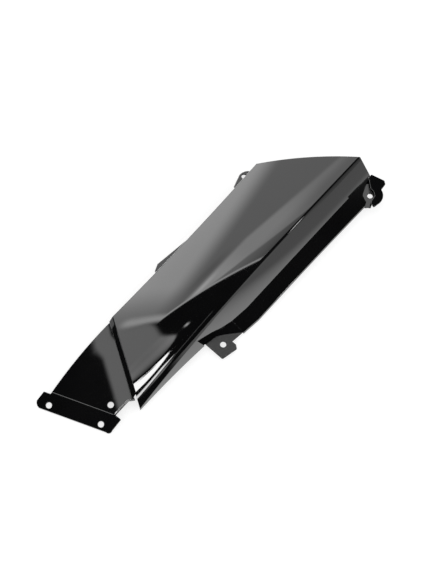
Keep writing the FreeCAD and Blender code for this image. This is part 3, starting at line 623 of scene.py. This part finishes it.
def with_step(rows, leans, outs, ways, depth):
    """Add the sloping step's columns to the face's lines."""
    edges, feet = np.array(outs).swapaxes(0, 1)
    last = max(k for k, way in enumerate(ways) if way == "step")
    sign = 1.0 if depth == 0 else -1.0
    tangent = np.gradient(edges[:last + 1], axis=0)
    for k in range(last + 1):
        if np.linalg.norm(tangent[k]) < 1e-6:
            tangent[k] = tangent[k - 1]
    count = 1 + len(FOOT_SHARES) + len(EDGE_SHARES)
    ahead = np.array([-cos(S.step_skew), sin(S.step_skew), 0.0]) * sign
    sideways = np.tile(np.array([0, -sign, 0.0]), (count, 1))
    all_rows, all_leans = [], []
    for k, way in enumerate(ways):
        row, lean = rows[k].copy(), leans[k]
        if way == "plain":
            tips = sideways if ways[k - 1] == "turn" else np.repeat(lean[:1], count, axis=0)
            all_rows.append(np.concatenate([np.repeat(row[:1], count, axis=0), row]))
            all_leans.append(np.concatenate([tips, lean]))
            continue
        a, b = edges[k], feet[k]
        slope = unit(np.cross(tangent[min(k, last)], b - a))
        slope = unit(slope * (1 if slope[2] * sign > 0 else -1) + UP * LEAN.step_rise * sign)
        down = unit(b - a)
        back = unit(row[3] - row[0])
        spots = [np.array([b[0], b[1], min(S.step_foot_z, b[2] - S.step_foot_least)])]
        tips = [ahead]
        for share in FOOT_SHARES:
            spots.append(eased(b, -UP, -down, S.step_foot_round, share))
            tips.append(unit(ahead * (1 - share) + slope * share))
        for share in EDGE_SHARES:
            spots.append(eased(a, down, back, S.step_round, share))
            tips.append(unit(slope * (1 - share) + lean[0] * share))
        row[0] = a + back * S.step_round
        all_rows.append(np.concatenate([spots, row]))
        all_leans.append(np.concatenate([sideways if way == "turn" else tips, lean]))
    return np.array(all_rows), np.array(all_leans)


def foot_y_of(q):
    return q.crease_y - (q.crease_z - q.foot_z) / tan(q.slope)


def strip_path(x, inner):
    """Root, rim and lip of the strip's outer or inner skin at each X."""
    share = share_at(x)
    q = section(share)
    foot_y, slope = foot_y_of(q), tan(S.strip_slope)
    flare = np.maximum(0, 1 - share / S.strip_flare_end)
    run = S.strip_run + S.strip_flare * flare ** 2
    rim_y, rim_z = foot_y - run, q.foot_z - run * slope
    if inner:
        under = S.wall / cos(S.strip_slope)
        return [(foot_y + S.lap_low_y, q.foot_z - S.lap_low_z),
                (rim_y + S.wall, rim_z + S.wall * slope - under), (rim_y + S.wall, rim_z - S.strip_lip)]
    return [(foot_y + S.lap_up_y, q.foot_z + S.lap_up_z), (rim_y, rim_z), (rim_y, rim_z - S.strip_lip)]


def build_strip(skin):
    """Overlap strip with its turned-down rim, ended on the line above the bracket."""
    ends = np.array(S.strip_end)[::-1]
    stations = [("flat", t) for t in (0.0, 0.25, 0.5, 0.75, 0.9)]
    stations += [("bend", t) for t in (0.0, 0.25, 0.5, 0.75, 1.0)] + [("lip", 0.6), ("lip", 1.0)]
    columns = np.linspace(0, 1, STRIP_COLUMNS)
    skins = []
    for inner in (False, True):
        sign = -1.0 if inner else 1.0
        small = S.strip_inner_round if inner else S.strip_round
        up = np.array([0, -sin(S.strip_slope), cos(S.strip_slope)]) * sign
        out = np.array(LEAN.strip_lip) * sign
        rows, tips = [], []
        for kind, t in stations:
            turn = {"flat": 0.0, "bend": min(1.0, 2 * t), "lip": 1.0}[kind]
            lean = up * (1 - turn) + out * turn
            if kind == "bend":
                lean = unit(lean)
            # Each line ends where it meets the line above the bracket
            high = 200.0
            for _ in range(8):
                x = S.strip_start + (high - S.strip_start) * columns
                root, rim, lip = (np.stack([x, y, z], -1) for y, z in strip_path(x, inner))
                if kind == "flat":
                    here = root + (rim - root) * t
                elif kind == "bend":
                    here = eased(rim, unit(root - rim), unit(lip - rim), small, t)
                else:
                    here = rim + (lip - rim) * t
                high = np.interp(here[-1, 1], ends[:, 1], ends[:, 0])
            rows.append(here)
            tips.append(np.tile(lean, (STRIP_COLUMNS, 1)))
        skins += [np.array(rows), np.array(tips)]
    skin.sheet(*skins, radius=S.strip_edge, flip=True)


def build_ramp(skin):
    """Skin that turns from the strip down to the side tab."""
    q = section(share_at(S.strip_start))
    foot_y = foot_y_of(q)
    first = (S.strip_start, foot_y + S.lap_up_y, q.foot_z + S.lap_up_z,
             foot_y - S.strip_run, q.foot_z - S.strip_run * tan(S.strip_slope))
    knots = np.array([first] + S.ramp)
    x = np.linspace(knots[0, 0], knots[-1, 0], RAMP_COLUMNS)
    values = [smoothed(np.interp(-x, -knots[:, 0], knots[:, k])) for k in range(1, 5)]
    tops, folds = (np.stack([x, *pair], -1) for pair in (values[:2], values[2:]))
    places = np.array([tops + (folds - tops) * t for t in np.linspace(0, 1, RAMP_LINES)])
    square = unit(np.cross(np.gradient(places, axis=1), np.gradient(places, axis=0)))
    square = square * np.sign(square[..., 2:3] - square[..., 1:2])
    inner = places - square * S.ramp_wall
    leans = np.broadcast_to([0.0, -sin(S.strip_slope), cos(S.strip_slope)], square.shape)
    skin.sheet(places, leans, inner, -leans, radius=S.strip_edge)


def smoothed(v, rounds=6):
    """Numbers in a row, each drawn towards its neighbours."""
    v = v.copy()
    for _ in range(rounds):
        v[1:-1] = (v[:-2] + 2 * v[1:-1] + v[2:]) / 4
    return v


def level(z):
    """Flat height over the plan."""
    return lambda x, y: z


def build_side_tab(skin):
    """Flat satin tab with its hole, from the ramp's fold outwards."""
    fold = [(x, y + S.tab_lap) for x, _, _, y, _ in S.ramp]
    outline = [(S.tab_left[0], fold[2][1]), S.tab_left, S.tab_out, S.tab_right,
               (S.tab_right[0], S.tab_neck_y), S.tab_end, (S.tab_end[0], S.tab_end[1] + S.tab_lap),
               fold[0], fold[1]]
    outline = rounded(outline, dict.fromkeys((1, 2, 3), S.tab_round))
    skin.plate(outline, level(S.tab_z), level(S.tab_z - S.wall), [circle(S.tab_hole, S.fixing_hole)],
               finish=SATIN)


def build_low_tabs(skin):
    """Ear with its hole, and rail, along the hidden side."""
    inside_y = S.left_waist - S.low_tab_lap
    top, low = level(S.low_tab_z), level(S.low_tab_z - S.wall)
    ear = [(S.ear_left[0], inside_y), S.ear_left, S.ear_high]
    ear += arc(S.ear_high, S.ear_right, S.ear_radius, (1, 1), 14)
    ear += [S.ear_right, (S.ear_right[0], inside_y)]
    skin.plate(ear, top, low, [circle(S.ear_hole, S.ear_hole_d)])
    rail = [(S.rail[2][0], inside_y), S.rail[2], S.rail[1], S.rail[0], (S.rail[0][0], inside_y)]
    skin.plate(rail, top, low)


def cup_line(out):
    """Line of the wall round the pad, moved outwards."""
    return [(x + a * out, y + b * out) for (x, y), (a, b) in zip(S.cup, S.cup_lean)]


def build_bracket(skin):
    """Pad with its hole, the wall round it, the hook on top and the web up to the strip."""
    w = S.wall
    turn, edge = S.strip_end[2], S.strip_end[4]
    pad = [(turn[0] - w / 2, turn[1] - w / 2), (edge[0] - w / 2, edge[1]),
           S.pad_rim, S.pad_low] + cup_line(w) + [S.pad_root]
    skin.plate(pad, level(S.pad_z), level(S.pad_z - w), [circle(S.pad_hole, S.pad_hole_d)])
    cup = cup_line(0.0) + cup_line(w)[::-1]
    skin.plate(cup, level(S.hook_z - S.cup_sink), level(S.pad_z - w + S.cup_lap), radius=S.cup_edge)

    hook = [S.hook[0], S.hook[1]] + arc(S.hook[1], S.hook[2], S.hook_radius, (1, -1), 12) + S.hook[2:]
    hook = rounded(hook, {0: S.hook_tail_round, len(hook) - 3: S.hook_ear_round,
                          len(hook) - 2: S.hook_ear_round})
    hook += [(S.strip_end[0][0], S.strip_end[0][1] + S.hook_lap)] + cup_line(S.hook_lap)[::-1]
    skin.plate(hook, level(S.hook_z), level(S.hook_z - w), shading=lambda x, y: unit(LEAN.hook))

    front = S.strip_end[:5]
    back = [(front[0][0], front[0][1] + S.web_lap)]
    back += [(x - S.web_lean, y + S.web_lean) for x, y in front[1:4]]
    back += [(front[4][0] - w, front[4][1])]
    high = section(0.0).foot_z - S.web_sink

    def web_top(x, y):
        return high - (front[0][1] - y) * tan(S.strip_slope)

    skin.plate(front + back[::-1], web_top, level(S.pad_z - w), radius=S.web_edge)


def tongue_height(x, y):
    """Upper face of tongue and flange, softly folded between them."""
    w = x + y * tan(S.fold_skew)
    fold, root, soft = S.fold_x, S.tongue_root, S.fold_soft
    rise = (S.tongue_z - S.fold_z) / (root - fold)
    steep, gentle = tan(S.flange_slope), rise + 4 * S.tongue_bow / (root - fold)
    d = w - fold
    if d < -soft:
        return S.fold_z + steep * d
    if d < soft:
        return S.fold_z + (gentle + steep) / 2 * d + (gentle - steep) * (d * d + soft * soft) / (4 * soft)
    middle, half = (fold + root) / 2, (root - fold) / 2
    return S.fold_z + rise * d + S.tongue_bow * (1 - ((w - middle) / half) ** 2)


def by_fold(y, out=0.0):
    """Place on the fold between tongue and flange, moved outwards."""
    return S.fold_x - out - y * tan(S.fold_skew), y


def tongue_neck():
    """Ends of the tongue's right side near the step."""
    x, y = S.tongue_neck
    return (x, S.tongue_right_y), (step_at(y, S.step_run / 2), y)


def right_edge(x):
    return np.interp(x, *zip(*tongue_neck()))


def tongue_under(x, y):
    on_flange = x + y * tan(S.fold_skew) < S.fold_x - 1
    thick = S.wall / cos(S.flange_slope) if on_flange else S.wall
    return max(tongue_height(x, y) - thick, SHIFT[2])


def tongue_lean(x, y):
    """Shading direction of tongue and flange: a slight curl, and a rolled right edge."""
    plain = lean_of(tongue_height, x, y)
    past = step_at(y, S.step_run) - x
    mirror = LEAN.mirror - LEAN.near_fall * min(past, LEAN.near_run)
    mirror -= LEAN.far_fall * max(past - LEAN.near_run, 0.0)
    mirror += LEAN.left_rise * np.clip((y - LEAN.left_y) / LEAN.left_run, 0, 1)
    view = (LEAN.view_x + x) / LEAN.view_run
    share = np.clip((x + y * tan(S.fold_skew) - S.fold_x + S.fold_soft) / (2 * S.fold_soft), 0, 1)
    top = unit([plain[0] + ((mirror - view) / LEAN.gain - plain[0]) * share, plain[1], plain[2]])
    edge = np.array([-(LEAN.edge_mirror + view) / LEAN.edge_gain, *LEAN.edge])
    share = share * np.clip((right_edge(x) + LEAN.edge_reach - y) / LEAN.edge_soft, 0, 1)
    return unit(top * (1 - share) + edge * share)


def tongue_outline():
    left, run, set_in = S.tongue_left_y, S.flange_run, S.flange_set
    high, low = S.flange_left_y, S.flange_right_y
    left_round, right_round = S.flange_left_round, S.flange_right_round
    a, b = (step_at(left, S.step_run / 2), left), by_fold(S.fold_left_y)
    c, d = by_fold(high, run - left_round), by_fold(high - left_round, run)
    e, f = by_fold(low + right_round, run), by_fold(low, run - right_round)
    outline = [a] + arc(a, b, S.tongue_side_bow, (-1, 1), 24)
    outline += [b, by_fold(S.fold_left_y, set_in), by_fold(high, set_in)]
    outline += [c] + arc(c, d, left_round, (-1, 1), 8) + [d]
    outline += [e] + arc(e, f, right_round, (-1, -1), 6) + [f]
    return outline + [by_fold(low, set_in), by_fold(S.fold_right_y), *tongue_neck()]


def flange_holes():
    """The flange's two holes in plan, round on its slope."""
    skew, slope = S.fold_skew, S.flange_slope
    first_x, first_y = by_fold(S.flange_hole_y, S.flange_hole_run)
    holes = []
    for apart in (0.0, S.flange_hole_spacing):
        centre_x, centre_y = first_x + apart * sin(skew), first_y - apart * cos(skew)
        hole = []
        for x, y in circle((0, 0), S.fixing_hole):
            along = (x * cos(skew) + y * sin(skew)) * cos(slope)
            over = y * cos(skew) - x * sin(skew)
            hole.append((centre_x + along * cos(skew) - over * sin(skew),
                         centre_y + along * sin(skew) + over * cos(skew)))
        holes.append(hole)
    return holes


def build_tongue(skin):
    """Tongue below the step and the flange folded down from it, with their holes."""
    points = [by_fold(y, -d) for d in TONGUE_STEPS for y in TONGUE_ROWS]
    points += [(x, right_edge(x) + gap) for x in EDGE_STEPS for gap in EDGE_ROWS]
    holes = [circle(S.tongue_hole, S.fixing_hole)] + flange_holes()
    skin.plate(tongue_outline(), tongue_height, tongue_under, holes, points, shading=tongue_lean)


class Field:
    """Number that changes with place or direction, worked out by math nodes."""

    def __init__(self, tree, socket):
        self.tree = tree
        self.socket = socket

    def math(self, operation, *others):
        node = self.tree.nodes.new("ShaderNodeMath")
        node.operation = operation
        for slot, item in zip(node.inputs, (self, *others)):
            if isinstance(item, Field):
                self.tree.links.new(item.socket, slot)
            else:
                slot.default_value = item
        return Field(self.tree, node.outputs[0])

    def __add__(self, other):
        return self.math("ADD", other)

    def __sub__(self, other):
        return self.math("SUBTRACT", other)

    def __mul__(self, other):
        return self.math("MULTIPLY", other)

    def __neg__(self):
        return self * -1

    def __rsub__(self, other):
        return -self + other

    __radd__ = __add__
    __rmul__ = __mul__


def new_node(tree, kind, numbers=()):
    """Shader node, with numbers set on its own sockets."""
    node = tree.nodes.new("ShaderNode" + kind)
    for name, number in dict(numbers).items():
        node.inputs[name].default_value = number
    return node


def parts(tree, output):
    """X, Y and Z of a place (Object) or of a direction in the world (Generated)."""
    split = new_node(tree, "SeparateXYZ")
    tree.links.new(new_node(tree, "TexCoord").outputs[output], split.inputs[0])
    return [Field(tree, socket) for socket in split.outputs]


def ray(tree, kind):
    """1 for a camera or glossy ray, as named, and otherwise 0."""
    return Field(tree, new_node(tree, "LightPath").outputs[f"Is {kind} Ray"])


def smooth(v, start, end):
    """Soft step from 0 at start to 1 at end."""
    node = new_node(v.tree, "MapRange", {
        "From Min": min(start, end), "From Max": max(start, end),
        "To Min": int(start > end), "To Max": int(start < end),
    })
    node.interpolation_type = "SMOOTHSTEP"
    v.tree.links.new(v.socket, node.inputs["Value"])
    return Field(v.tree, node.outputs["Result"])


def most(a, b):
    return b.math("MAXIMUM", a) if isinstance(b, Field) else a.math("MAXIMUM", b)


def mixed(a, b, share):
    return a + (b - a) * share


def between(v, low, high, soft):
    """1 from low to high, with soft ends."""
    return smooth(v, low - soft, low + soft) * smooth(v, high + soft, high - soft)


def bump(v, centre, reach):
    """1 at the centre, down to 0 at the reach on both sides."""
    off = v - centre
    return smooth(most(off, -off), reach, 0.0)


# Brightness of the lamps that reflections show, where 1 is the white of the dome
GLOW = SimpleNamespace(
    bank=2.3, bank_dip=0.5, bank_far=3.0, bank_far_gain=2.8, bank_edge=6.0,
    open_side=2.4, open_near=0.9, open_spot=2.0, valley=2.4, valley_fall=6.0,
    panel=1.8, panel_gain=52.0, panel_bulge=0.25, panel_far=2.6,
    long_tube=24.0, short_tube=16.0, thin=2.8,
    lamp=8.0, spark=14.0, fold=5.0, haze=0.45, haze_gain=6.0, haze_low=0.5,
)


def overhead_bank(x, y):
    """Large soft panel overhead, brightest at its far end."""
    past = x - most(0.044, 0.057 + (0.245 - y) * 0.29)
    shape = smooth(past, -0.003, 0.004) * smooth(y + most(0.0, x - 0.28) * 0.6, -0.30, -0.24)
    shape = shape * smooth(x, 0.92, 0.80) * smooth(y, 0.97, 0.90)
    middle = GLOW.bank - GLOW.bank_dip * bump(x, centre=0.13, reach=0.06) * bump(y, centre=0.29, reach=0.07)
    far = GLOW.bank_far + GLOW.bank_far_gain * smooth(x, 0.045, 0.10)
    level = mixed(middle, far, smooth(y - 1.35 * (x - 0.10), 0.29, 0.55))
    short, beyond = most(0.0, 0.15 - y), most(0.0, -y)
    lit = smooth(past - 0.15 * short - 1.2 * short * short + 0.3 * beyond, -0.012, 0.012)
    open_side = GLOW.open_side + smooth(y, -0.15, 0.03) + GLOW.open_near * smooth(x, 0.36, 0.25)
    spot_light = bump(x, centre=0.10, reach=0.04) * bump(y, centre=0.18, reach=0.05)
    open_side = open_side + smooth(x, 0.19, 0.12) + GLOW.open_spot * spot_light
    near = mixed(GLOW.valley - GLOW.valley_fall * beyond, open_side, lit)
    level = mixed(level, near, smooth(y + most(0.0, x - 0.2) * 1.1, 0.255, 0.185))
    edge = bump(past, centre=0.005, reach=0.008) * smooth(y, 0.75, 0.62)
    return shape * mixed(level, GLOW.bank_edge, edge)


def left_panel(x, y):
    """Narrow panel to the left of the bank."""
    short = most(0.0, -0.06 - y)
    side = 0.0265 + 0.0165 * smooth(y, 0.02, 0.40) - 1.95 * short * short
    level = most(0.0, GLOW.panel + GLOW.panel_gain * x)
    level = level * (1 + GLOW.panel_bulge * bump(y, centre=-0.07, reach=0.09))
    level = mixed(level, GLOW.panel_far * smooth(x, -0.010, 0.003), smooth(y, 0.05, 0.12))
    level = level * smooth(y, -0.21, -0.10) * smooth(y, 0.95, 0.85)
    return level * smooth(x - side, 0.003, -0.002)


def tubes(x, y):
    """Two tubes, and two thin lines beside them."""
    off = x - (0.0189 + 0.0526 * y)
    width = 0.009 * smooth(y, -0.20, -0.26) + 0.06 * smooth(y, -0.34, -0.42)
    long_tube = smooth(off, 0.0012, -0.0012) * smooth(off + width, -0.0012, 0.0012)
    long_tube = long_tube * between(y, low=-0.725, high=-0.2, soft=0.015)
    short_tube = between(y - 20 * x, low=-1.01, high=-0.68, soft=0.04)
    short_tube = short_tube * between(y, low=-0.975, high=-0.78, soft=0.015)
    short_tube = short_tube * between(x, low=-0.03, high=0.012, soft=0.002)
    thin = bump(y + (0.055 - x) * 6.8, centre=-0.60, reach=0.035) * between(x, 0.010, 0.07, soft=0.004)
    thin = thin + between(y, low=-0.98, high=-0.92, soft=0.015) * between(x, 0.011, 0.028, soft=0.003)
    return GLOW.long_tube * long_tube + GLOW.short_tube * short_tube + GLOW.thin * thin


def small_lamps(x, y, z):
    """Small lamp, a spark on the crease, and a lamp that the flange's fold shows."""
    lamp = bump(x, centre=0.0415, reach=0.005) * bump(y, centre=-0.075, reach=0.03)
    spark = between(x, low=0.284, high=0.307, soft=0.004) * between(z, low=0.18, high=0.42, soft=0.02)
    spark = spark * smooth(y, -0.84, -0.87)
    fold = between(x, low=-0.36, high=-0.24, soft=0.03) * between(y, low=-0.15, high=0.8, soft=0.05)
    return GLOW.lamp * lamp + GLOW.spark * spark + GLOW.fold * fold


def haze(x, y, z):
    """Bright end of the table, seen low over the floor."""
    level = (GLOW.haze + GLOW.haze_gain * most(0.0, 0.38 - x)) * smooth(x, 0.17, 0.20)
    level = level * (1 + GLOW.haze_low * smooth(z, 0.04, 0.0))
    return level * smooth(z, 0.09, 0.05) * smooth(y, -0.80, -0.90)


def plastic(name, colour, specular, roughness, waves, grain):
    """Black plastic whose gloss and surface change a little from place to place.

    Roughness holds its least and greatest value, waves and grain a noise scale and a height in metres.
    """
    material = bpy.data.materials.new(name)
    material.use_nodes = True
    tree = material.node_tree
    shader = tree.nodes["Principled BSDF"]
    shader.inputs["IOR"].default_value = 1.5
    shader.inputs["Specular IOR Level"].default_value = specular
    place = new_node(tree, "TexCoord").outputs["Object"]

    def noise(scale, detail):
        node = new_node(tree, "TexNoise", {"Scale": scale, "Detail": detail})
        tree.links.new(place, node.inputs["Vector"])
        return Field(tree, node.outputs["Fac"])

    patches = smooth(noise(scale=14.0, detail=4.0), 0.35, 0.65)
    specks = smooth(noise(scale=900.0, detail=2.0), 0.45, 0.75)
    rough = roughness[0] + (roughness[1] - roughness[0]) * (0.7 * patches + 0.3 * specks)
    tree.links.new(rough.socket, shader.inputs["Roughness"])
    mix = tree.nodes.new("ShaderNodeMix")
    mix.data_type = "RGBA"
    tree.links.new(patches.socket, mix.inputs["Factor"])
    mix.inputs["A"].default_value = (*(c * 0.85 for c in colour), 1)
    mix.inputs["B"].default_value = (*(c * 1.15 for c in colour), 1)
    tree.links.new(mix.outputs["Result"], shader.inputs["Base Color"])
    under = None
    for scale, height in (waves, grain):
        relief = new_node(tree, "Bump", {"Distance": height})
        tree.links.new(noise(scale, detail=2.0).socket, relief.inputs["Height"])
        if under:
            tree.links.new(under, relief.inputs["Normal"])
        under = relief.outputs["Normal"]
    tree.links.new(under, shader.inputs["Normal"])
    return material


def grey(level):
    return (level, level, level, 1)


def make_floor(half=20.0):
    """Pale floor: matt for light, and bright with soft shadows for the camera and reflections."""
    mesh = bpy.data.meshes.new("floor")
    corners = [(-half, -half, 0), (half, -half, 0), (half, half, 0), (-half, half, 0)]
    mesh.from_pydata(corners, [], [(0, 1, 2, 3)])
    floor = bpy.data.objects.new("floor", mesh)
    bpy.context.scene.collection.objects.link(floor)
    paper = bpy.data.materials.new("paper")
    paper.use_nodes = True
    mesh.materials.append(paper)
    tree = paper.node_tree
    matt = tree.nodes["Principled BSDF"]
    matt.inputs["Base Color"].default_value = grey(0.9)
    matt.inputs["Roughness"].default_value = 0.9
    matt.inputs["Specular IOR Level"].default_value = 0.0
    # Reflections show the floor brighter near the panel
    east, north, _ = parts(tree, "Object")
    far = (0.1 * east * east + north * north).math("POWER", 0.5)
    bright = 0.68 + ray(tree, "Glossy") * (0.1 + 2.3 * smooth(far, 0.42, 0.03))
    glow = new_node(tree, "Emission", {"Color": grey(1)})
    shadowed = new_node(tree, "BsdfDiffuse", {"Color": grey(0.42)})
    both, choice = new_node(tree, "AddShader"), new_node(tree, "MixShader")
    for source, slot in (
        (bright.socket, glow.inputs["Strength"]),
        (glow.outputs[0], both.inputs[0]),
        (shadowed.outputs[0], both.inputs[1]),
        (most(ray(tree, "Camera"), ray(tree, "Glossy")).socket, choice.inputs[0]),
        (matt.outputs[0], choice.inputs[1]),
        (both.outputs[0], choice.inputs[2]),
        (choice.outputs[0], tree.nodes["Material Output"].inputs["Surface"]),
    ):
        tree.links.new(source, slot)


def make_world():
    """Plain white dome for light; reflections show the studio's lamps instead."""
    world = bpy.data.worlds.new("studio")
    bpy.context.scene.world = world
    world.use_nodes = True
    tree = world.node_tree
    x, y, z = parts(tree, "Generated")
    lamps = overhead_bank(x, y) + left_panel(x, y) + tubes(x, y) + small_lamps(x, y, z) + haze(x, y, z)
    background = tree.nodes["Background"]
    background.inputs["Color"].default_value = grey(1)
    tree.links.new((1 + ray(tree, "Glossy") * (lamps - 1)).socket, background.inputs["Strength"])


def build_panel():
    """The whole moulding as one piece, in gloss and satin black."""
    skin = Skin()
    for build in (build_face, build_strip, build_ramp, build_side_tab, build_low_tabs, build_bracket,
                  build_tongue):
        build(skin)
    panel = skin.build("panel")
    gloss = plastic("gloss_black", colour=(0.0034, 0.0034, 0.0036), specular=0.5,
                    roughness=(0.015, 0.035), waves=(35.0, 2e-6), grain=(500.0, 4e-7))
    satin = plastic("satin_black", colour=(0.008, 0.008, 0.0082), specular=0.35,
                    roughness=(0.34, 0.5), waves=(60.0, 1e-5), grain=(1500.0, 8e-6))
    for finish in (gloss, satin):
        panel.data.materials.append(finish)
    return panel


panel = build_panel()
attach(panel, "root")
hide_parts("trim_panel")
make_floor()
make_world()
make_camera()
bpy.context.scene.view_settings.view_transform = "Standard"
